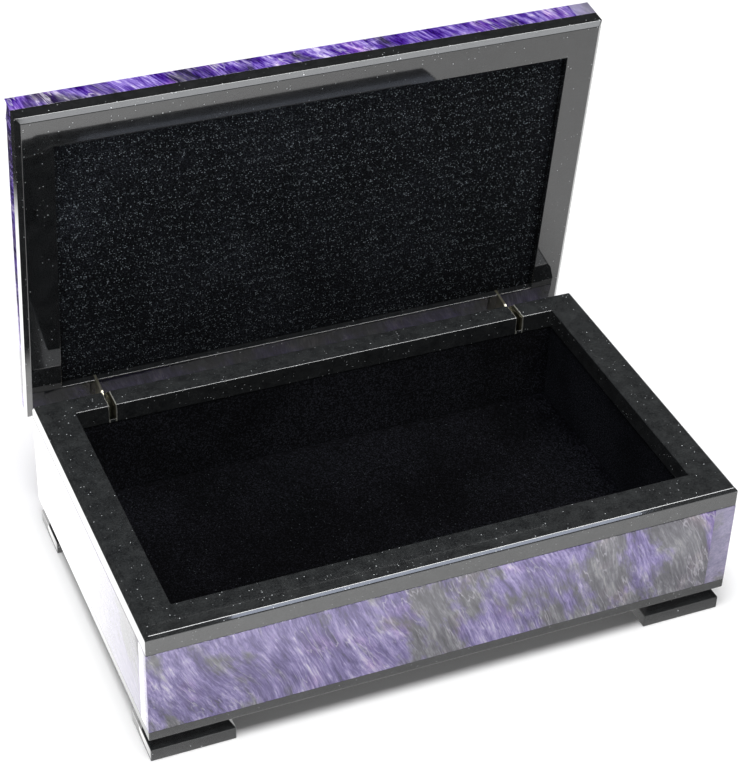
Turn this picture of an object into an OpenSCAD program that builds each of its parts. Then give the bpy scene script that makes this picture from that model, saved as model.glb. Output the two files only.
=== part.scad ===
// Hinged keepsake box of polished stone: black granite plates, bands of violet stone and velvet linings.
// The frame is +Z up with the feet on Z = 0 and the origin under the middle of the case. +X runs to the
// right as seen from the front, +Y to the rear. The lid is drawn open, resting on its stops.

/* [Case] */
// Width of the case
box_w = 180; // [120:1:260]
// Depth of the case
box_d = 111; // [80:1:180]
// Height of the violet stone band round the case
band_h = 28.5; // [20:0.5:60]
// Width of the rim's rails, seen from above
rail_w = 10.7; // [8:0.1:16]
// Thickness of the black rim plate
rim_t = 6.5; // [5.5:0.1:10]
// Bevel along the outer edges of the rim
rim_bevel = 1; // [0.4:0.1:2]
// Thickness of the violet stone strips
strip_t = 6.5; // [3:0.1:7]
// Thickness of the black base plate
base_t = 3.5; // [2:0.1:8]
// Bevel round the lower edges of the base plate
base_bevel = 0.5; // [0.2:0.1:1]

/* [Feet] */
// Width of a foot
foot_w = 25; // [15:1:40]
// Depth of a foot
foot_d = 17; // [12:1:30]
// Height of a foot
foot_h = 8.2; // [5:0.1:14]
// Distance from the case's sides to a foot
foot_inset = 0.5; // [0:0.1:6]
// Height of the bevel round the top of a foot
foot_bevel_h = 4.2; // [1:0.1:4.5]
// Width of the bevel round the top of a foot
foot_bevel_w = 3; // [0.5:0.1:5]

/* [Linings] */
// Thickness of the velvet-covered wall panels
lining_t = 1.2; // [0.8:0.1:2]
// Step from the rim's inner edge back to the velvet
lining_step = 0.2; // [0.1:0.1:1]
// Thickness of the velvet-covered floor panel
floor_lining_t = 2; // [1:0.1:5]
// Bevel round the floor panel's upper edges
floor_lining_bevel = 0.4; // [0.2:0.1:0.8]

/* [Lid] */
// Thickness of the lid's black frame
frame_t = 5.6; // [5:0.1:10]
// Width of the lid frame's rails
frame_w = 10.7; // [8:0.1:16]
// Bevel along the outer edges of the lid's frame
frame_bevel = 1.4; // [0.4:0.1:2]
// Height of the violet stone strips round the lid
lid_band_h = 6.4; // [5:0.1:10]
// Thickness of the violet stone panel that is let into the lid's top
lid_top_t = 2; // [1:0.1:4]
// Bevel along the outer edges of the lid's top
lid_top_bevel = 0.6; // [0.3:0.1:1.2]
// Depth from the lid's frame to its velvet
lid_recess = 2.2; // [1:0.1:3.5]
// How far the lid stands open, from closed
open_angle = 84; // [70:1:100]
// Gap between the closed lid and the rim
lid_gap = 0.15; // [0.1:0.05:0.5]

/* [Hinges] */
// Distance from the end of the case to the middle of a hinge slot
hinge_end = 22.1; // [15:0.1:40]
// Distance from the rear face forward to the hinge pins
pin_in = 3.7; // [3.5:0.1:5]
// Depth from the rim's top to the hinge pins
pin_drop = 8.7; // [8:0.1:12]
// Diameter of a hinge pin
pin_d = 1.8; // [1:0.1:2.4]
// Radial clearance of the pins in the leaves
pin_gap = 0.03; // [0.02:0.01:0.1]
// Thickness of a hinge leaf
leaf_t = 0.8; // [0.5:0.1:1.5]
// Radius of the leaves round the pin
leaf_r = 3; // [2.5:0.1:3.3]
// Gap beside and between the leaves in the slot
leaf_gap = 0.2; // [0.1:0.05:0.4]
// Depth of the slot at the rim's inner edge
slot_front = 5.2; // [4:0.1:5.4]
// Gap between the leaves' round ends and the slot's floor
slot_gap = 0.25; // [0.2:0.05:0.6]
// Gap left between the lid leaf's heel and the slot's floor when open
stop_gap = 0.1; // [0.05:0.01:0.15]
// Depth of the slot in the lid's rear rail
lid_slot_h = 4.3; // [3:0.1:4.8]
// Gap from the leaves' front edges to the rim's inner edge
leaf_setback = 0.1; // [0.1:0.1:0.5]

/* [Hidden] */

granite = "#26282a";
violet = "#7c6aa8";
velvet = "#111317";
brass = "#c9bd8a";
// A small overshoot, so that cuts pass clean through faces
over = 1;

// Heights of the case's layers above the surface it stands on
base_z = foot_h;
band_z = base_z + base_t;
rim_z = band_z + band_h;
top_z = rim_z + rim_t;

// The core walls fill what the strip, the velvet panel and its step leave of the rail's width
wall_in = rail_w - lining_step - lining_t;
wall_t = wall_in - strip_t;
well_w = box_w - 2 * (wall_in + lining_t);
well_d = box_d - 2 * (wall_in + lining_t);

// Layers of the lid, measured up from the face of its frame while it is closed
lid_z = top_z + lid_gap;
lid_band_z = lid_z + frame_t;
lid_top_z = lid_band_z + lid_band_h - lid_top_t;
lid_panel_w = box_w - 2 * frame_w;
lid_panel_d = box_d - 2 * frame_w;
inlay_w = box_w - 2 * strip_t;
inlay_d = box_d - 2 * strip_t;

// The pin's axis, along X
pin_y = box_d / 2 - pin_in;
pin_z = top_z - pin_drop;
// The rear chamfer starts above the pin, so that the lid's rear edge can swing down past the rim
rear_chamfer = pin_in - 0.2;
slot_w = 2 * leaf_t + 2 * leaf_gap;
slot_depth = pin_drop + leaf_r + slot_gap;
slot_y = box_d / 2 - rail_w;
// The heel of a lid leaf is the step that lands on the slot's floor and holds the lid open
heel_h = leaf_r;
heel_r = (leaf_r + slot_gap - stop_gap + heel_h * cos(open_angle)) / sin(open_angle);
round_fn = 64;

// One strip of a rectangular ring: the front and rear strips run the full width, the others fit between
module ring_strip(side, w, d, t, h) {
    if (side == "front") translate([-w / 2, -d / 2, 0]) cube([w, t, h]);
    if (side == "rear") translate([-w / 2, d / 2 - t, 0]) cube([w, t, h]);
    if (side == "left") translate([-w / 2, t - d / 2, 0]) cube([t, d - 2 * t, h]);
    if (side == "right") translate([w / 2 - t, t - d / 2, 0]) cube([t, d - 2 * t, h]);
}

// One strip of a ring laid like a pinwheel: each strip's end butts against the next one's side
module pinwheel_strip(side, w, d, t, h) {
    if (side == "front") translate([-w / 2, -d / 2, 0]) cube([w - t, t, h]);
    if (side == "rear") translate([t - w / 2, d / 2 - t, 0]) cube([w - t, t, h]);
    if (side == "left") translate([-w / 2, t - d / 2, 0]) cube([t, d - t, h]);
    if (side == "right") translate([w / 2 - t, -d / 2, 0]) cube([t, d - t, h]);
}

// A slab with its upper outer edges cut at 45 degrees
module bevelled_slab(w, d, h, bevel, rear_bevel) {
    intersection() {
        translate([0, d / 2, 0]) rotate([90, 0, 0]) linear_extrude(d)
            polygon([[-w / 2, 0], [w / 2, 0], [w / 2, h - bevel],
                [w / 2 - bevel, h], [bevel - w / 2, h], [-w / 2, h - bevel]]);
        translate([-w / 2, 0, 0]) rotate([90, 0, 90]) linear_extrude(w)
            polygon([[-d / 2, 0], [d / 2, 0], [d / 2, h - rear_bevel],
                [d / 2 - rear_bevel, h], [bevel - d / 2, h], [-d / 2, h - bevel]]);
    }
}

// A plate in the YZ plane, drawn as Y and Z and centred on X = 0
module plate_x(t) {
    translate([-t / 2, 0, 0]) rotate([90, 0, 90]) linear_extrude(t) children();
}

// The base plate carries the walls, and the feet are glued under it
module base_plate() {
    color(granite) translate([0, 0, band_z]) mirror([0, 0, 1])
        bevelled_slab(box_w, box_d, base_t, base_bevel, base_bevel);
}

// A foot is a small slab with a wide bevel round its top
module foot(right, rear) {
    x = (right ? 1 : -1) * (box_w / 2 - foot_inset - foot_w / 2);
    y = (rear ? 1 : -1) * (box_d / 2 - foot_inset - foot_d / 2);
    low = foot_h - foot_bevel_h;
    color(granite) translate([x, y, 0]) intersection() {
        translate([0, foot_d / 2, 0]) rotate([90, 0, 0]) linear_extrude(foot_d)
            foot_outline(foot_w, low);
        translate([-foot_w / 2, 0, 0]) rotate([90, 0, 90]) linear_extrude(foot_w)
            foot_outline(foot_d, low);
    }
}

module foot_outline(w, low) {
    polygon([[-w / 2, 0], [w / 2, 0], [w / 2, low], [w / 2 - foot_bevel_w, foot_h],
        [foot_bevel_w - w / 2, foot_h], [-w / 2, low]]);
}

// The slots are sawn through the rear rail, deeper at the rear than at the rim's inner edge
module slot_outline() {
    polygon([[slot_y - over, top_z + over], [slot_y - over, top_z - slot_front],
        [slot_y, top_z - slot_front], [pin_y - leaf_r - slot_gap, top_z - slot_depth],
        [box_d / 2 + over, top_z - slot_depth], [box_d / 2 + over, top_z + over]]);
}

module hinge_slots() {
    for (side = [-1, 1]) translate([side * (box_w / 2 - hinge_end), 0, 0])
        plate_x(slot_w) slot_outline();
}

// The core walls back the violet strips and carry the velvet panels
module wall(side) {
    color(granite) difference() {
        translate([0, 0, band_z])
            ring_strip(side, box_w - 2 * strip_t, box_d - 2 * strip_t, wall_t, band_h);
        if (side == "rear") hinge_slots();
    }
}

// The violet strips run from the base plate up to the rim
module band(side) {
    color(violet) difference() {
        translate([0, 0, band_z]) pinwheel_strip(side, box_w, box_d, strip_t, band_h);
        if (side == "rear") hinge_slots();
    }
}

// The rim's rails are bevelled outside, and the rear one is chamfered for the lid
module rim(side) {
    color(granite) difference() {
        translate([0, 0, rim_z]) intersection() {
            bevelled_slab(box_w, box_d, rim_t, rim_bevel, rear_chamfer);
            ring_strip(side, box_w, box_d, rail_w, rim_t);
        }
        if (side == "rear") hinge_slots();
    }
}

module floor_lining() {
    color(velvet) translate([0, 0, band_z])
        bevelled_slab(well_w, well_d, floor_lining_t, floor_lining_bevel, floor_lining_bevel);
}

// Velvet panels line the walls from the base plate up to the rim
module lining(side) {
    color(velvet) difference() {
        translate([0, 0, band_z])
            ring_strip(side, box_w - 2 * wall_in, box_d - 2 * wall_in, lining_t, band_h);
        if (side == "rear") hinge_slots();
    }
}

// A leaf of the case is glued against the right wall of its slot and carries the pin
module case_leaf(side) {
    x = side * (box_w / 2 - hinge_end) + slot_w / 2 - leaf_t / 2;
    top = top_z - lid_gap;
    color(brass) translate([x, 0, 0]) difference() {
        plate_x(leaf_t) polygon([[slot_y + leaf_setback, top],
            [slot_y + leaf_setback, top_z - slot_front],
            [pin_y - leaf_r - slot_gap + leaf_setback, top_z - slot_depth],
            [box_d / 2 - leaf_setback, top_z - slot_depth],
            [box_d / 2 - leaf_setback, top - rear_chamfer],
            [box_d / 2 - leaf_setback - rear_chamfer, top]]);
        pin_bore();
    }
}

module pin_bore() {
    translate([-leaf_t, pin_y, pin_z]) rotate([0, 90, 0])
        cylinder(h = 2 * leaf_t, r = pin_d / 2 + pin_gap, $fn = round_fn);
}

// A pin goes through both leaves of its hinge
module hinge_pin(side) {
    x = side * (box_w / 2 - hinge_end) - slot_w / 2 + leaf_gap;
    color(brass) translate([x, pin_y, pin_z]) rotate([0, 90, 0])
        cylinder(h = slot_w - leaf_gap, d = pin_d, $fn = round_fn);
}

// Turns the lid's pieces from closed, where they are drawn, to open
module opened() {
    translate([0, pin_y, pin_z]) rotate([-open_angle, 0, 0]) translate([0, -pin_y, -pin_z])
        children();
}

// A leaf of the lid is glued in the lid's slot and turns on the pin beside the case's leaf
module lid_leaf(side) {
    x = side * (box_w / 2 - hinge_end) - slot_w / 2 + leaf_gap + leaf_t / 2;
    front = slot_y + leaf_setback;
    color(brass) opened() translate([x, 0, 0]) difference() {
        union() {
            plate_x(leaf_t) polygon([[front, lid_z + lid_slot_h],
                [front, top_z - slot_front + leaf_gap + leaf_gap],
                [pin_y - leaf_r, pin_z], [pin_y + leaf_r, pin_z],
                [pin_y + leaf_r, pin_z + heel_h - (heel_r - leaf_r)],
                [pin_y + heel_r, pin_z + heel_h], [pin_y + heel_r, lid_z + lid_slot_h]]);
            translate([-leaf_t / 2, pin_y, pin_z]) rotate([0, 90, 0])
                cylinder(h = leaf_t, r = leaf_r, $fn = round_fn);
        }
        pin_bore();
    }
}

// The slots in the lid's rear rail fit the leaves
module lid_slots() {
    for (side = [-1, 1])
        translate([side * (box_w / 2 - hinge_end) - slot_w / 2 + leaf_gap, box_d / 2 - frame_w - over,
            lid_z - over])
            cube([leaf_t, frame_w + 2 * over, lid_slot_h + over]);
}

// The lid's frame is bevelled on the side that lies on the rim
module lid_rail(side) {
    color(granite) opened() difference() {
        translate([0, 0, lid_z]) intersection() {
            translate([0, 0, frame_t]) mirror([0, 0, 1])
                bevelled_slab(box_w, box_d, frame_t, frame_bevel, frame_bevel);
            ring_strip(side, box_w, box_d, frame_w, frame_t);
        }
        if (side == "rear") lid_slots();
    }
}

// The core is a stepped panel: its lower part fits inside the frame and backs the velvet
module lid_core() {
    step_t = frame_t - lid_recess - lining_t;
    color(granite) opened() union() {
        translate([-inlay_w / 2, -inlay_d / 2, lid_band_z])
            cube([inlay_w, inlay_d, lid_band_h - lid_top_t]);
        translate([-lid_panel_w / 2, -lid_panel_d / 2, lid_band_z - step_t])
            cube([lid_panel_w, lid_panel_d, step_t]);
    }
}

module lid_lining() {
    color(velvet) opened() translate([-lid_panel_w / 2, -lid_panel_d / 2, lid_z + lid_recess])
        cube([lid_panel_w, lid_panel_d, lining_t]);
}

// Violet strips edge the lid, bevelled along the top
module lid_band(side) {
    color(violet) opened() translate([0, 0, lid_band_z]) intersection() {
        bevelled_slab(box_w, box_d, lid_band_h, lid_top_bevel, lid_top_bevel);
        pinwheel_strip(side, box_w, box_d, strip_t, lid_band_h);
    }
}

// The top panel lies on the core, flush with the strips
module lid_top() {
    color(violet) opened() translate([-inlay_w / 2, -inlay_d / 2, lid_top_z])
        cube([inlay_w, inlay_d, lid_top_t]);
}

base_plate();
foot(false, false);  // front_left_foot
foot(true, false);  // front_right_foot
foot(false, true);  // rear_left_foot
foot(true, true);  // rear_right_foot
wall("front");  // front_wall
wall("rear");  // rear_wall
wall("left");  // left_wall
wall("right");  // right_wall
band("front");  // front_band
band("rear");  // rear_band
band("left");  // left_band
band("right");  // right_band
rim("front");  // front_rim
rim("rear");  // rear_rim
rim("left");  // left_rim
rim("right");  // right_rim
floor_lining();
lining("front");  // front_lining
lining("rear");  // rear_lining
lining("left");  // left_lining
lining("right");  // right_lining
case_leaf(-1);  // left_case_leaf
case_leaf(1);  // right_case_leaf
hinge_pin(-1);  // left_hinge_pin
hinge_pin(1);  // right_hinge_pin
lid_rail("front");  // lid_front_rail
lid_rail("rear");  // lid_rear_rail
lid_rail("left");  // lid_left_rail
lid_rail("right");  // lid_right_rail
lid_core();
lid_lining();
lid_top();
lid_band("front");  // lid_front_band
lid_band("rear");  // lid_rear_band
lid_band("left");  // lid_left_band
lid_band("right");  // lid_right_band
lid_leaf(-1);  // left_lid_leaf
lid_leaf(1);  // right_lid_leaf
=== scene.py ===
"""Hinged keepsake box of polished black stone, bands of silky violet stone and velvet linings."""
from math import radians

import bmesh
import bpy
import numpy as np
from mathutils import Euler, Matrix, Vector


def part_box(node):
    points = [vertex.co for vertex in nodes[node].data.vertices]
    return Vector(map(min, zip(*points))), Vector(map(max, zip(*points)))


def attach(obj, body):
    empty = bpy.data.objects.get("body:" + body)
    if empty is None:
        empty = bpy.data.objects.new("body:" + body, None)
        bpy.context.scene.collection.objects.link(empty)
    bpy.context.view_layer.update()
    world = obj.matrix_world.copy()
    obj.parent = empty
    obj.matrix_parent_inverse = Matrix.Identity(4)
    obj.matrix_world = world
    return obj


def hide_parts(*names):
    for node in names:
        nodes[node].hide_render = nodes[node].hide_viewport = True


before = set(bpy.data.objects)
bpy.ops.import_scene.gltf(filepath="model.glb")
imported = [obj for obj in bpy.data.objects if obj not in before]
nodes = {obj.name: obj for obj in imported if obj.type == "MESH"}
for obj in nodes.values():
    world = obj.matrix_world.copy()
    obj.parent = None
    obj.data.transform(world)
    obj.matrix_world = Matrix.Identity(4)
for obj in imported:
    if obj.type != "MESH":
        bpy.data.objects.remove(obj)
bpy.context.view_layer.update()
scene = bpy.context.scene

# Camera
# A long lens about 0.67 m from the box, above and to the left of its front. It looks down and to the right
# by so many degrees, and is rolled a little clockwise.
lens = bpy.data.cameras.new("camera")
lens.lens = 101.6
lens.sensor_width = 36
camera = bpy.data.objects.new("camera", lens)
camera.location = (-0.20727, -0.45905, 0.44169)
looks_down = 36.54
looks_right = 23.99
rolled = 2.33
aim = Euler((radians(90 - looks_down), 0, radians(-looks_right))).to_matrix()
camera.rotation_euler = (aim @ Matrix.Rotation(radians(rolled), 3, "Z")).to_euler()
scene.collection.objects.link(camera)
scene.camera = camera

# Base plate
# A 3.5 mm plate of fine-grained black stone under the whole case. It is sawn, polished on its edges, and
# its lower edges are taken off; the walls stand on it.


def put(tree, kind, feeds=None, **settings):
    """Adds a node; each feed joins a socket to the input of that name or number, or gives it a value."""
    made = tree.nodes.new(kind if kind.startswith("Node") else "ShaderNode" + kind)
    for key, value in settings.items():
        setattr(made, key, value)
    for key, value in (feeds or {}).items():
        if isinstance(value, bpy.types.NodeSocket):
            tree.links.new(value, made.inputs[key])
        else:
            made.inputs[key].default_value = value
    return made


def shades(tree, amount, stops, smooth=False):
    """Turns an amount into a colour by a row of stops, each a place from 0 to 1 and a colour or a grey."""
    ramp = put(tree, "ValToRGB", {0: amount})
    band = ramp.color_ramp
    band.interpolation = "EASE" if smooth else "LINEAR"
    while len(band.elements) < len(stops):
        band.elements.new(0.5)
    for stop, (place, colour) in zip(band.elements, stops):
        stop.position = place
        stop.color = (*colour, 1) if isinstance(colour, tuple) else (colour, colour, colour, 1)
    return ramp.outputs[0]


def blend(tree, amount, first, second, way="MIX"):
    """Mixes two colours by an amount."""
    mix = put(tree, "Mix", {0: amount, 6: first, 7: second}, data_type="RGBA", blend_type=way)
    return mix.outputs[2]


def reckon(tree, way, first, second=0.0, third=0.0):
    """One step of arithmetic on numbers."""
    return put(tree, "Math", {0: first, 1: second, 2: third}, operation=way).outputs[0]


def effect(name, inputs, outputs):
    """An empty group of nodes with named inputs and outputs: (group, its input node, its output node)."""
    group = bpy.data.node_groups.new(name, "ShaderNodeTree")
    kinds = {"vector": "NodeSocketVector", "number": "NodeSocketFloat", "colour": "NodeSocketColor"}
    for title, kind in inputs:
        group.interface.new_socket(name=title, in_out="INPUT", socket_type=kinds[kind])
    for title, kind in outputs:
        group.interface.new_socket(name=title, in_out="OUTPUT", socket_type=kinds[kind])
    return group, group.nodes.new("NodeGroupInput").outputs, group.nodes.new("NodeGroupOutput").inputs


# Crystals of a few tenths of a millimetre in clouds of 4 mm, with sparse bright flecks of 0.3 mm
crystals, given, asked = effect(
    "crystals",
    [("Place", "vector"), ("Dark", "colour"), ("Light", "colour"), ("Flecks", "number")],
    [("Colour", "colour"), ("Roughness", "number"), ("Height", "number")],
)
fleck_reach = 0.16
grain_share = 0.6
grain = put(crystals, "TexNoise", {"Vector": given["Place"], "Scale": 2600, "Detail": 3, "Roughness": 0.8})
cloud = put(crystals, "TexNoise", {"Vector": given["Place"], "Scale": 240, "Detail": 6, "Roughness": 0.65})
clouded = reckon(crystals, "MULTIPLY", cloud.outputs[0], 1 - grain_share)
mottle = reckon(crystals, "MULTIPLY_ADD", grain.outputs[0], grain_share, clouded)
grey = shades(crystals, mottle, [(0.37, 0.0), (0.63, 1.0)])
cells = put(crystals, "TexVoronoi", {"Vector": given["Place"], "Scale": 1000})
core = reckon(crystals, "LESS_THAN", cells.outputs["Distance"], fleck_reach)
chance = put(crystals, "SeparateColor", {0: cells.outputs["Color"]})
picked = reckon(crystals, "LESS_THAN", chance.outputs[0], given["Flecks"])
fleck = reckon(crystals, "MULTIPLY", core, picked)
bright = reckon(crystals, "MULTIPLY", fleck, reckon(crystals, "POWER", chance.outputs[1], 2))
body_tone = blend(crystals, grey, given["Dark"], given["Light"])
crystals.links.new(blend(crystals, bright, body_tone, (0.75, 0.78, 0.8, 1)), asked["Colour"])
haze = put(crystals, "TexNoise", {"Vector": given["Place"], "Scale": 60, "Detail": 3})
polish = reckon(crystals, "MULTIPLY_ADD", haze.outputs[0], 0.05, 0.03)
crystals.links.new(reckon(crystals, "MULTIPLY_ADD", bright, 0.2, polish), asked["Roughness"])
crystals.links.new(mottle, asked["Height"])


def polished(tree, colour, roughness, height):
    """The shader of polished stone: a dense stone under a hard, glassy surface."""
    bump = put(tree, "Bump", {"Strength": 0.12, "Distance": 0.00001, "Height": height})
    shader = put(tree, "BsdfPrincipled", {
        "Base Color": colour, "Roughness": roughness, "Normal": bump.outputs[0],
        "IOR": 1.6, "Coat Weight": 1.0, "Coat IOR": 1.6, "Coat Roughness": 0.02})
    put(tree, "OutputMaterial", {0: shader.outputs[0]})


def fresh_material(name):
    """An empty material with nodes: (material, its tree, the object's own coordinates)."""
    made = bpy.data.materials.new(name)
    made.use_nodes = True
    made.node_tree.nodes.clear()
    return made, made.node_tree, put(made.node_tree, "TexCoord").outputs["Object"]


def black_stone(name, dark, light, flecks, chipped=False):
    """Polished black stone of fine crystals between two tones, with that share of flecked crystals. Where it
    is chipped, small pale chips run along both edges of the two saw cuts through its rear rail."""
    made, tree, place = fresh_material(name)
    grain = put(tree, "Group", node_tree=crystals)
    tree.links.new(place, grain.inputs["Place"])
    grain.inputs["Dark"].default_value = (*dark, 1)
    grain.inputs["Light"].default_value = (*light, 1)
    grain.inputs["Flecks"].default_value = flecks
    colour = grain.outputs["Colour"]
    if chipped:
        cut_middle = 0.0679
        cut_edge = 0.00105
        chip_reach = 0.0005
        rail_start = 0.0436
        spot = put(tree, "SeparateXYZ", {0: place})
        across = reckon(tree, "SUBTRACT", reckon(tree, "ABSOLUTE", spot.outputs[0]), cut_middle)
        edge = reckon(tree, "ABSOLUTE", reckon(tree, "SUBTRACT", reckon(tree, "ABSOLUTE", across), cut_edge))
        ragged = put(tree, "TexNoise", {"Vector": place, "Scale": 900, "Detail": 2})
        chip = reckon(tree, "LESS_THAN", edge, reckon(tree, "MULTIPLY", ragged.outputs[0], chip_reach))
        chip = reckon(tree, "MULTIPLY", chip, reckon(tree, "GREATER_THAN", spot.outputs[1], rail_start))
        colour = blend(tree, chip, colour, (0.3, 0.3, 0.27, 1))
    polished(tree, colour, grain.outputs["Roughness"], grain.outputs["Height"])
    return made


def eased(name, node, material, body, width, segments=3):
    """A copy of a CAD plate, its loose triangles merged to whole faces and its sharp edges rounded over."""
    mesh = bpy.data.meshes.new(name)
    work = bmesh.new()
    work.from_mesh(nodes[node].data)
    bmesh.ops.remove_doubles(work, verts=work.verts, dist=1e-6)
    bmesh.ops.dissolve_limit(work, angle_limit=radians(0.5), verts=work.verts, edges=work.edges)
    for face in work.faces:
        face.smooth = True
    work.to_mesh(mesh)
    work.free()
    piece = bpy.data.objects.new(name, mesh)
    scene.collection.objects.link(piece)
    round_over(piece, width, segments)
    piece.data.materials.clear()
    piece.data.materials.append(material)
    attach(piece, body)
    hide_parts(node)


def round_over(piece, width, segments=3):
    """Rounds a piece's sharp edges by a narrow width, with its flat faces kept flat in the light."""
    bevel = piece.modifiers.new("edges", "BEVEL")
    bevel.width = width
    bevel.segments = segments
    bevel.limit_method = "ANGLE"
    bevel.angle_limit = radians(25)
    bevel.harden_normals = True
    bevel.miter_outer = "MITER_ARC"


plate_stone = black_stone(
    "black_stone_base", dark=(0.008, 0.0085, 0.0095), light=(0.034, 0.036, 0.037), flecks=0.2)
eased("base", "base_plate", plate_stone, "case", width=0.0002)

# Feet
# Four slabs of the same black stone, 25 by 17 mm, with a wide bevel sawn round the top. They are glued
# under the corners of the base plate.
for corner in ("front_left", "front_right", "rear_left", "rear_right"):
    eased(f"foot_{corner}", f"{corner}_foot", plate_stone, "case", width=0.00025)

# Core walls
# Plain walls of black stone between the violet strips outside and the velvet inside, and the lid's core of
# the same stone. They are hidden when the box is whole, and show only in the hinge slots.
for node in ("front_wall", "rear_wall", "left_wall", "right_wall", "lid_core"):
    nodes[node].data.materials.clear()
    nodes[node].data.materials.append(plate_stone)

# Violet bands
# Four 6.5 mm strips of a silky violet stone, whose matted fibres swirl and lean as they grew. They are cut
# from one block, laid round the case like a pinwheel and polished flush with the plates.
silk, given, asked = effect(
    "silky_fibres",
    [("Place", "vector"), ("Vividness", "number"), ("Contrast", "number"), ("Trend", "number"),
     ("Brightness", "number"), ("Share", "number"), ("Patches", "colour")],
    [("Colour", "colour"), ("Roughness", "number"), ("Height", "number")],
)


def stirred(tree, place, scale, reach, detail):
    """Moves each point by a smooth random step, so that straight fibres swirl."""
    noise = put(tree, "TexNoise", {"Vector": place, "Scale": scale, "Detail": detail})
    centred = put(tree, "VectorMath", {0: noise.outputs[1], 1: (0.5, 0.5, 0.5)}, operation="SUBTRACT")
    step = put(tree, "VectorMath", {0: centred.outputs[0], 3: reach}, operation="SCALE")
    return put(tree, "VectorMath", {0: place, 1: step.outputs[0]}, operation="ADD").outputs[0]


def fibres(tree, place, size, lean, detail, roughness):
    """Noise drawn out along fibres: size is a fibre's width and length, lean its angle from upright."""
    width, length = size
    drawn = put(tree, "Mapping", {"Vector": place, "Scale": (width, width, length),
                                  "Rotation": (0, -radians(lean), 0)}, vector_type="TEXTURE")
    noise = put(tree, "TexNoise", {"Vector": drawn.outputs[0], "Scale": 1, "Detail": detail,
                                   "Roughness": roughness})
    return noise.outputs[0]


# Fibres that lean, broad ones between fine ones, in a slow swirl of 45 mm and a quick one of 3 mm
calm = stirred(silk, given["Place"], scale=22, reach=0.014, detail=1)
swirl = stirred(silk, calm, scale=300, reach=0.0007, detail=3)
fine = fibres(silk, swirl, size=(0.0006, 0.008), lean=22, detail=4, roughness=0.75)
broad = fibres(silk, swirl, size=(0.003, 0.014), lean=26, detail=3, roughness=0.6)
mass = reckon(silk, "MULTIPLY_ADD", fine, 0.5, reckon(silk, "MULTIPLY", broad, 0.5))
mass = reckon(silk, "MULTIPLY_ADD", reckon(silk, "SUBTRACT", mass, 0.5), given["Contrast"], 0.5)
violet = shades(silk, mass, [
    (0.36, (0.035, 0.02, 0.13)), (0.44, (0.115, 0.075, 0.31)), (0.5, (0.225, 0.17, 0.48)),
    (0.57, (0.42, 0.34, 0.72)), (0.66, (0.88, 0.82, 0.98))])

# Greyer patches 15 by 32 mm in size, which keep the fibres' light and dark
drift = fibres(silk, swirl, size=(0.015, 0.032), lean=26, detail=5, roughness=0.62)
across = put(silk, "SeparateXYZ", {0: given["Place"]})
spread = reckon(silk, "ADD", drift, given["Share"])
greyer = reckon(silk, "MULTIPLY_ADD", across.outputs[0], given["Trend"], spread)
patched = shades(silk, greyer, [(0.49, 0.0), (0.58, 0.85)])
shaded = shades(silk, mass, [(0.36, 0.35), (0.5, 0.9), (0.66, 2.6)])
patch = blend(silk, 1.0, shaded, given["Patches"], "MULTIPLY")
tone = blend(silk, patched, violet, patch)

# A blush of pink, and thin pale veins in bundles
blush = put(silk, "TexNoise", {"Vector": swirl, "Scale": 90, "Detail": 3})
pink = shades(silk, blush.outputs[0], [(0.55, 0.0), (0.7, 0.6)])
tone = blend(silk, pink, tone, (1.25, 0.95, 1.05, 1), "MULTIPLY")
veins = fibres(silk, calm, size=(0.0024, 0.02), lean=24, detail=3, roughness=0.45)
off = reckon(silk, "ABSOLUTE", reckon(silk, "SUBTRACT", veins, 0.5))
vein = shades(silk, off, [(0.0, 1.0), (0.02, 0.0)])
bundle = shades(silk, blush.outputs[0], [(0.47, 0.0), (0.56, 1.0)])
vein = reckon(silk, "MULTIPLY", reckon(silk, "MULTIPLY", vein, bundle), given["Contrast"])
tone = blend(silk, reckon(silk, "MULTIPLY", vein, fine), tone, (0.9, 0.86, 0.98, 1))
vivid = put(silk, "HueSaturation", {
    "Saturation": given["Vividness"], "Value": given["Brightness"], "Color": tone})
silk.links.new(vivid.outputs[0], asked["Colour"])
silk.links.new(reckon(silk, "MULTIPLY_ADD", fine, 0.12, 0.02), asked["Roughness"])
silk.links.new(fine, asked["Height"])


def violet_stone(name, turn, shift, patches, vividness, contrast, brightness=1.0, trend=0.0, share=0.0):
    """Polished violet stone, its fibres turned by angles in degrees and moved to another part of the block.
    Its greyer patches have a tone of their own, and grow by a share and by a trend along X."""
    made, tree, place = fresh_material(name)
    angles = [radians(angle) for angle in turn]
    turned = put(tree, "Mapping", {"Vector": place, "Location": shift, "Rotation": angles})
    stone = put(tree, "Group", node_tree=silk)
    tree.links.new(turned.outputs[0], stone.inputs["Place"])
    stone.inputs["Vividness"].default_value = vividness
    stone.inputs["Contrast"].default_value = contrast
    stone.inputs["Brightness"].default_value = brightness
    stone.inputs["Trend"].default_value = trend
    stone.inputs["Share"].default_value = share
    stone.inputs["Patches"].default_value = (*patches, 1)
    polished(tree, stone.outputs["Colour"], stone.outputs["Roughness"], stone.outputs["Height"])
    return made


front_stone = violet_stone(
    "violet_stone_front", turn=(0, 0, 0), shift=(0, 0, 0), patches=(0.155, 0.16, 0.145),
    vividness=0.97, contrast=0.95, brightness=0.86, trend=0.7)
side_stone = violet_stone(
    "violet_stone_sides", turn=(90, 0, 0), shift=(0, 0.3, 0), patches=(0.2, 0.2, 0.2),
    vividness=0.6, contrast=0.3, brightness=0.86)
strips = (("front", front_stone), ("rear", front_stone), ("left", side_stone), ("right", side_stone))
for side, stone in strips:
    eased(f"band_{side}", f"{side}_band", stone, "case", width=0.00006, segments=2)

# Rim
# A frame of 6.5 mm black stone, 10.7 mm wide, glued on the walls. Its outer edges have a 1 mm bevel, the
# rear one a 3.5 mm chamfer for the lid, and the two hinge slots are sawn through its rear rail.


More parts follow.
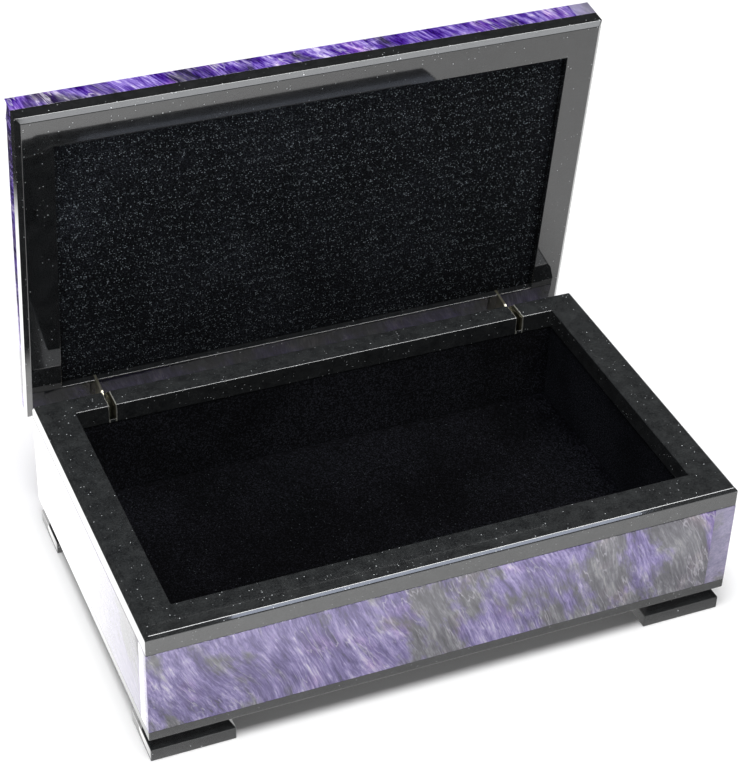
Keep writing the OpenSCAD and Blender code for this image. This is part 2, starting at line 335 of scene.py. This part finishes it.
def mitred_frame(name, profile, material):
    """A rectangular frame: at each corner stands the same row of points, each given in mm as half the width,
    the depth to the front, the depth to the rear and the height, and the four rows are joined round."""
    row = np.array(profile, float) / 1000
    turn = np.array([[-1, -1], [1, -1], [1, 1], [-1, 1]])
    points = np.empty((4, len(row), 3))
    points[:, :, 0] = turn[:, :1] * row[None, :, 0]
    points[:, :, 1] = np.where(turn[:, 1:] < 0, -row[None, :, 1], row[None, :, 2])
    points[:, :, 2] = row[None, :, 3]
    corner, step = np.meshgrid(np.arange(4), np.arange(len(row)), indexing="ij")
    count = len(row)
    faces = np.stack([
        corner * count + step, (corner + 1) % 4 * count + step,
        (corner + 1) % 4 * count + (step + 1) % count, corner * count + (step + 1) % count], -1)
    mesh = bpy.data.meshes.new(name)
    mesh.from_pydata(points.reshape(-1, 3).tolist(), [], faces.reshape(-1, 4).tolist())
    mesh.materials.append(material)
    piece = bpy.data.objects.new(name, mesh)
    scene.collection.objects.link(piece)
    return piece


def saw(piece, outlines):
    """Cuts prisms out of a piece: each is its low and high X and an outline of (Y, Z) points, in mm."""
    cuts = bpy.data.meshes.new("saw_cuts")
    points = []
    faces = []
    for low, high, outline in outlines:
        start = len(points)
        count = len(outline)
        points += [(low / 1000, y / 1000, z / 1000) for y, z in outline]
        points += [(high / 1000, y / 1000, z / 1000) for y, z in outline]
        faces += [[start + (i + 1) % count, start + i, start + count + i, start + count + (i + 1) % count]
                  for i in range(count)]
        faces += [[start + i for i in range(count)], [start + count + i for i in reversed(range(count))]]
    cuts.from_pydata(points, [], faces)
    work = bmesh.new()
    work.from_mesh(cuts)
    bmesh.ops.recalc_face_normals(work, faces=work.faces)
    work.to_mesh(cuts)
    work.free()
    blade = bpy.data.objects.new("saw_cuts", cuts)
    scene.collection.objects.link(blade)
    cut = piece.modifiers.new("slots", "BOOLEAN")
    cut.operation = "DIFFERENCE"
    cut.solver = "EXACT"
    cut.object = blade
    sawn = bpy.data.meshes.new_from_object(piece.evaluated_get(bpy.context.evaluated_depsgraph_get()))
    piece.modifiers.remove(cut)
    piece.data = sawn
    bpy.data.objects.remove(blade)


def smooth(piece):
    """Shades a piece smoothly, which the rounded edges then hold flat."""
    piece.data.polygons.foreach_set("use_smooth", np.ones(len(piece.data.polygons), bool))


rim_stone = black_stone(
    "black_stone_rim", dark=(0.008, 0.0085, 0.0095), light=(0.046, 0.049, 0.05), flecks=0.3, chipped=True)
# Half the width, the depth to the front and to the rear, and the height
rim_profile = [
    (79.3, 44.8, 44.8, 40.2), (90, 55.5, 55.5, 40.2), (90, 55.5, 55.5, 43.2), (90, 55.5, 53, 45.7),
    (89, 54.5, 52, 46.7), (79.3, 44.8, 44.8, 46.7)]
rim = mitred_frame("rim", rim_profile, rim_stone)
# Each slot is a 2 mm saw cut, whose floor slopes down to the rear
rim_slot = [(43.8, 47.7), (43.8, 41.5), (44.8, 41.5), (48.55, 34.75), (56.5, 34.75), (56.5, 47.7)]
saw(rim, [(-68.9, -66.9, rim_slot), (66.9, 68.9, rim_slot)])
smooth(rim)
round_over(rim, width=0.0003)
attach(rim, "case")
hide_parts("front_rim", "rear_rim", "left_rim", "right_rim")

# Velvet linings
# Stiff card covered with black cut-pile velvet: 1.2 mm panels glued to the four walls under the rim, and a
# 2 mm panel that lies on the base plate.


def velvet(name, nap, gleam, sparks):
    """Cut pile with light and shade painted on its tufts: nap is its tone, the tips painted lighter as
    painted light and the depths darker as painted shade, with a brushed lay painted on as patches of sheen.
    Its sparks are painted glints: gleam is how bright they are and sparks the share of tufts that have one."""
    made, tree, place = fresh_material(name)
    tuft = put(tree, "TexNoise", {"Vector": place, "Scale": 2300, "Detail": 2, "Roughness": 0.7})
    brushed = put(tree, "TexNoise", {"Vector": place, "Scale": 24, "Detail": 4, "Roughness": 0.6})
    # Painted shade in the depths of the pile and painted light on the tuft tips
    shaded_deep = tuple(0.2 * part for part in nap)
    lit_tip = tuple(5 * part for part in nap)
    pile = shades(tree, tuft.outputs[0], [(0.38, shaded_deep), (0.54, nap), (0.72, lit_tip)])
    # Lighter and darker patches of the brushed lay, a painted sheen
    brushed_sheen = shades(tree, brushed.outputs[0], [(0.35, 0.6), (0.7, 1.5)], smooth=True)
    # Painted glints on a share of the tufts
    cells = put(tree, "TexVoronoi", {"Vector": place, "Scale": 2500})
    glint = reckon(tree, "LESS_THAN", cells.outputs["Distance"], 0.4)
    chance = put(tree, "SeparateColor", {0: cells.outputs["Color"]})
    glint = reckon(tree, "MULTIPLY", glint, reckon(tree, "LESS_THAN", chance.outputs[0], sparks))
    glint = reckon(tree, "MULTIPLY", glint, reckon(tree, "POWER", chance.outputs[1], 2))
    tone = blend(tree, 1.0, pile, brushed_sheen, "MULTIPLY")
    tone = blend(tree, glint, tone, (0.8 * gleam, 0.92 * gleam, gleam, 1))
    depth = put(tree, "Bump", {"Strength": 0.5, "Distance": 0.0002, "Height": tuft.outputs[0]})
    shader = put(tree, "BsdfPrincipled", {
        "Base Color": tone, "Roughness": 0.95, "Specular IOR Level": 0.1, "Sheen Weight": 0.015,
        "Sheen Roughness": 0.4, "Sheen Tint": (0.7, 0.8, 1.0, 1), "Normal": depth.outputs[0]})
    put(tree, "OutputMaterial", {0: shader.outputs[0]})
    return made


def soft_panel(name, node, low, high, face, cloth, round_off, swell):
    """A covered panel between two corners. The face looks along an axis, given as -1 or +1 on it. On a grid
    over the face, the height at a distance d from the border is the thickness less what a quarter circle of
    the round-off's radius leaves, and less a faint swell: the product of two sines 33 and 27 mm long, and a
    slanting one of 11 mm. The outer row is folded back to the wall."""
    grid = 0.0025
    axis = int(np.nonzero(face)[0][0])
    along = [other for other in range(3) if other != axis]
    spans = [high[other] - low[other] for other in along]
    lines = []
    for span in spans:
        edge = round_off * (1 - np.cos(np.linspace(0, np.pi / 2, 5)))
        middle = np.linspace(round_off, span - round_off, max(3, int(span / grid)))
        lines.append(np.concatenate([[0], edge, middle[1:-1], span - edge[::-1], [span]]))
    u, v = np.meshgrid(*lines, indexing="ij")
    border = np.minimum.reduce([u, spans[0] - u, v, spans[1] - v])
    inside = np.clip(round_off - border, 0, round_off)
    thick = high[axis] - low[axis]
    height = thick - round_off + np.sqrt(round_off ** 2 - inside ** 2)
    wave = np.sin(u * 190 + 1.3) * np.sin(v * 230 + 0.4) + 0.6 * np.sin(u * 470 + v * 310)
    height -= swell * (0.8 + 0.5 * wave) * (border > round_off)
    height[[0, -1], :] = 0
    height[:, [0, -1]] = 0
    points = np.empty(u.shape + (3,))
    points[..., along[0]] = low[along[0]] + u
    points[..., along[1]] = low[along[1]] + v
    points[..., axis] = low[axis] + height if face[axis] > 0 else high[axis] - height
    rows, columns = u.shape
    i, j = np.meshgrid(np.arange(rows - 1), np.arange(columns - 1), indexing="ij")
    first = i * columns + j
    quads = np.stack([first, first + columns, first + columns + 1, first + 1], -1).reshape(-1, 4)
    loop = np.concatenate([
        np.arange(columns), np.arange(1, rows) * columns + columns - 1,
        (rows - 1) * columns + np.arange(columns - 2, -1, -1), np.arange(rows - 2, 0, -1) * columns])
    mesh = bpy.data.meshes.new(name)
    mesh.from_pydata(points.reshape(-1, 3).tolist(), [], quads.tolist() + [loop.tolist()])
    work = bmesh.new()
    work.from_mesh(mesh)
    bmesh.ops.recalc_face_normals(work, faces=work.faces)
    work.to_mesh(mesh)
    work.free()
    mesh.materials.append(cloth)
    piece = bpy.data.objects.new(name, mesh)
    scene.collection.objects.link(piece)
    smooth(piece)
    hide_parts(node)
    return piece


wall_velvet = velvet("velvet_walls", nap=(0.0087, 0.0091, 0.0119), gleam=0.08, sparks=0.05)
# The well's floor takes a copy of the velvet painted far darker, as painted shade in the well, with fewer and
# dimmer painted glints
shaded_well_velvet = velvet("velvet_well_shaded", nap=(0.0024, 0.0025, 0.0034), gleam=0.05, sparks=0.04)
for side, face in (("front", (0, 1, 0)), ("rear", (0, -1, 0)), ("left", (1, 0, 0)), ("right", (-1, 0, 0))):
    low, high = [np.array(corner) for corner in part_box(f"{side}_lining")]
    panel = soft_panel(
        f"velvet_{side}", f"{side}_lining", low, high, face, wall_velvet, round_off=0.0003, swell=0.00002)
    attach(panel, "case")
low, high = [np.array(corner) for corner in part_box("floor_lining")]
panel = soft_panel(
    "velvet_floor", "floor_lining", low, high, (0, 0, 1), shaded_well_velvet, round_off=0.0004, swell=0.00005)
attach(panel, "case")

# Hinges
# Two hidden slot hinges of pale brass. In each slot a 0.8 mm leaf glued to the case stands beside one glued
# to the lid, and the lid's leaf turns on a 1.8 mm pin below the rim. The case's leaf and the pin are painted
# dark, as painted shade in the slots.


def brass(name, dull, clean):
    """Brass between a dull and a clean tone, with fine scores along its leaves."""
    made, tree, place = fresh_material(name)
    scratch = fibres(tree, place, size=(0.0003, 0.006), lean=60, detail=5, roughness=0.7)
    tarnish = put(tree, "TexNoise", {"Vector": place, "Scale": 420, "Detail": 5, "Roughness": 0.65})
    metal = shades(tree, tarnish.outputs[0], [(0.35, dull), (0.6, clean)])
    rub = reckon(tree, "MULTIPLY_ADD", scratch, 0.3, 0.3)
    scored = put(tree, "Bump", {"Strength": 0.2, "Distance": 0.00002, "Height": scratch})
    shader = put(tree, "BsdfPrincipled", {
        "Base Color": metal, "Metallic": 1.0, "Roughness": rub, "Normal": scored.outputs[0]})
    put(tree, "OutputMaterial", {0: shader.outputs[0]})
    return made


rubbed_brass = brass("brass_rubbed", dull=(0.7, 0.66, 0.48), clean=(0.92, 0.89, 0.74))
# A copy of the brass painted dark, as painted shade in the slots, for the case's leaves and the pins
shaded_brass = brass("brass_shaded", dull=(0.1, 0.09, 0.06), clean=(0.3, 0.28, 0.19))
for side in ("left", "right"):
    eased(f"leaf_case_{side}", f"{side}_case_leaf", shaded_brass, "case", width=0.00008, segments=2)
    eased(f"leaf_lid_{side}", f"{side}_lid_leaf", rubbed_brass, "lid", width=0.00008, segments=2)
    eased(f"pin_{side}", f"{side}_hinge_pin", shaded_brass, "case", width=0.0001, segments=2)

# Lid frame
# A frame of 5.6 mm black stone like the rim. Its face falls off a little towards a 1.4 mm bevel round it. It
# is worked out here as it lies when the lid is shut, and turned open about the hinge pins.
open_degrees = 84
pin_place = (0, 0.0518, 0.038)


def opened(piece):
    """Turns a piece's mesh about the pins from shut to open."""
    pins = Matrix.Translation(pin_place)
    piece.data.transform(pins @ Matrix.Rotation(radians(-open_degrees), 4, "X") @ pins.inverted())


frame_stone = black_stone(
    "black_stone_lid", dark=(0.005, 0.0055, 0.006), light=(0.026, 0.0275, 0.029), flecks=0.22)
lid_profile = [
    (79.3, 44.8, 44.8, 52.45), (79.3, 44.8, 44.8, 46.85), (82.5, 48, 48, 46.85), (85.7, 51.2, 51.2, 46.88),
    (88.6, 54.1, 54.1, 46.94), (90, 55.5, 55.5, 48.25), (90, 55.5, 55.5, 52.45)]
lid_frame = mitred_frame("lid_frame", lid_profile, frame_stone)
lid_frame.data.flip_normals()
# Each cut is as wide as the leaf that is glued in it
lid_slot = [(43.8, 45.85), (56.5, 45.85), (56.5, 51.15), (43.8, 51.15)]
saw(lid_frame, [(-68.7, -67.9, lid_slot), (67.1, 67.9, lid_slot)])
opened(lid_frame)
smooth(lid_frame)
round_over(lid_frame, width=0.00016)
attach(lid_frame, "lid")
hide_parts("lid_front_rail", "lid_rear_rail", "lid_left_rail", "lid_right_rail")

# Lid lining
# The same velvet on card, let 2.2 mm into the lid's frame. More of its tufts carry brighter painted glints,
# as painted light. It too is worked out as it lies when the lid is shut.
low = np.array([-0.0793, -0.0448, 0.04905])
high = np.array([0.0793, 0.0448, 0.05025])
# A copy of the velvet with more and brighter painted glints, as painted light
glinting_velvet = velvet("velvet_lid", nap=(0.0085, 0.0095, 0.0125), gleam=0.5, sparks=0.36)
lid_velvet = soft_panel(
    "velvet_lid", "lid_lining", low, high, (0, 0, -1), glinting_velvet, round_off=0.0003, swell=0.00003)
opened(lid_velvet)
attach(lid_velvet, "lid")

# Lid bands and top
# Strips of the same violet stone, 6.4 mm high, edge the lid like a pinwheel, and a 2 mm panel of it is let
# into its top between them.
lid_stone = violet_stone(
    "violet_stone_lid", turn=(84, 0, 0), shift=(0, 0.2, 0.06), patches=(0.03, 0.03, 0.035),
    vividness=1.25, contrast=1.25, brightness=1.1, trend=-0.3, share=-0.03)
end_stone = violet_stone(
    "violet_stone_lid_end", turn=(90, 0, 0), shift=(0, 0.1, 0.3), patches=(0.3, 0.28, 0.4),
    vividness=0.75, contrast=0.3)
top_stone = violet_stone(
    "violet_stone_top", turn=(174, 0, 20), shift=(0, 0.2, 0.06), patches=(0.09, 0.09, 0.085),
    vividness=1.1, contrast=1.1)
for side, stone in (("front", lid_stone), ("rear", lid_stone), ("left", lid_stone), ("right", end_stone)):
    eased(f"lid_band_{side}", f"lid_{side}_band", stone, "lid", width=0.00005, segments=2)
eased("lid_panel", "lid_top", top_stone, "lid", width=0.00004, segments=2)

# Floor
# A wide white sheet. The polish shows a painted reflection of it: brightest to the left, and elsewhere
# brighter away from the box than close to it, as painted shade. Past a line to the left of the box, which
# slants a little with depth, the painted reflection is dark.
half_width = 0.09
half_depth = 0.0555


def mapped(tree, value, span, levels, way):
    """Turns a number's span into two levels, which hold beyond its ends."""
    feeds = {0: value, 1: span[0], 2: span[1], 3: levels[0], 4: levels[1]}
    return put(tree, "MapRange", feeds, interpolation_type=way).outputs[0]


floor_mesh = bpy.data.meshes.new("floor")
floor_mesh.from_pydata([(-2, -2, 0), (2, -2, 0), (2, 2, 0), (-2, 2, 0)], [], [(0, 1, 2, 3)])
floor = bpy.data.objects.new("floor", floor_mesh)
scene.collection.objects.link(floor)
sheet, tree, place = fresh_material("white_sheet")
ray = put(tree, "LightPath")
spot = put(tree, "SeparateXYZ", {0: place})
beside = reckon(tree, "SUBTRACT", reckon(tree, "ABSOLUTE", spot.outputs[0]), half_width)
before = reckon(tree, "SUBTRACT", reckon(tree, "ABSOLUTE", spot.outputs[1]), half_depth)
away = reckon(tree, "MAXIMUM", reckon(tree, "MAXIMUM", beside, before), 0)
# Painted shade in the reflection: dimmer close to the box, and dimmer to the right
near = mapped(tree, away, (0, 0.05), (0.5, 1.3), "SMOOTHSTEP")
across = mapped(tree, spot.outputs[0], (-0.1, 0.14), (1.2, 0.75), "LINEAR")
front_level = reckon(tree, "MULTIPLY", near, across)

# A painted light strip in the reflection, some 30 mm close to the left side, narrower to the front
painted_strip_level = 1.75
strip_slant = 0.3
strip_end = -0.12
left_side = reckon(tree, "LESS_THAN", spot.outputs[0], -half_width)
slanted = reckon(tree, "MULTIPLY_ADD", spot.outputs[1], strip_slant, spot.outputs[0])
close = reckon(tree, "GREATER_THAN", slanted, strip_end)
left_level = reckon(tree, "MULTIPLY", reckon(tree, "MULTIPLY", left_side, close), painted_strip_level)

# The painted reflection's left end, softened over 14 mm; past it the polish stays dark
sheet_slant = 0.1
sheet_end = -0.155
soft = 0.007
dark = 0.03
left_end = reckon(tree, "MULTIPLY_ADD", spot.outputs[1], sheet_slant, sheet_end)
past_end = reckon(tree, "SUBTRACT", spot.outputs[0], left_end)
covered = mapped(tree, past_end, (-soft, soft), (0, 1), "SMOOTHSTEP")
level = reckon(tree, "MULTIPLY_ADD", covered, reckon(tree, "MAXIMUM", front_level, left_level), dark)

# To the camera the sheet is white paper, lifted a little; to the polish it shows the painted reflection level
# found above
paper = put(tree, "BsdfDiffuse", {"Color": (0.93, 0.93, 0.935, 1)})
lifted = put(tree, "Emission", {"Strength": reckon(tree, "MULTIPLY", ray.outputs["Is Camera Ray"], 0.05)})
seen = put(tree, "AddShader", {0: paper.outputs[0], 1: lifted.outputs[0]})
painted_reflection = put(tree, "Emission", {"Color": (1, 1, 1, 1), "Strength": level})
both = put(tree, "MixShader", {0: ray.outputs["Is Glossy Ray"], 1: seen.outputs[0], 2: painted_reflection.outputs[0]})
put(tree, "OutputMaterial", {0: both.outputs[0]})
floor_mesh.materials.append(sheet)

# Light
# One broad soft light overhead, a little to the front and left; three softboxes to the front right that only
# polish and metal show; and a world that is white to the camera and dark to the polish.
sun = bpy.data.lights.new("overhead", "SUN")
sun.energy = 3.25
sun.angle = radians(30)
overhead = bpy.data.objects.new("overhead", sun)
overhead.rotation_euler = (radians(10), radians(-7), 0)
overhead.visible_glossy = False
scene.collection.objects.link(overhead)


def softbox(name, place, tilt, size, watts, colour):
    """A level rectangular lamp, tilted by so many degrees, that shows in polish and metal alone."""
    lamp = bpy.data.lights.new(name, "AREA")
    lamp.shape = "RECTANGLE"
    lamp.size, lamp.size_y = size
    lamp.energy = watts
    lamp.color = colour
    stand = bpy.data.objects.new(name, lamp)
    stand.location = place
    stand.rotation_euler = (radians(tilt), 0, 0)
    stand.visible_diffuse = False
    scene.collection.objects.link(stand)


softbox("low_softbox", place=(0.335, -0.72, 0.712), tilt=45, size=(0.33, 0.07), watts=0.25,
        colour=(0.75, 0.82, 1))
softbox("high_softbox", place=(0.345, -0.555, 0.757), tilt=37, size=(0.52, 0.09), watts=0.42,
        colour=(0.95, 0.97, 1))
softbox("top_softbox", place=(0.385, -0.49, 1), tilt=25, size=(0.56, 0.4), watts=8.5,
        colour=(1, 1, 1))

world = bpy.data.worlds.new("world")
scene.world = world
world.use_nodes = True
tree = world.node_tree
tree.nodes.clear()
ray = put(tree, "LightPath")
in_polish = 0.03
on_matt = 0.12
faint = reckon(tree, "MULTIPLY_ADD", ray.outputs["Is Diffuse Ray"], on_matt, in_polish)
white = reckon(tree, "MAXIMUM", ray.outputs["Is Camera Ray"], faint)
sky = put(tree, "Background", {"Color": (1, 1, 1, 1), "Strength": white})
put(tree, "OutputWorld", {0: sky.outputs[0]})

scene.view_settings.view_transform = "Standard"
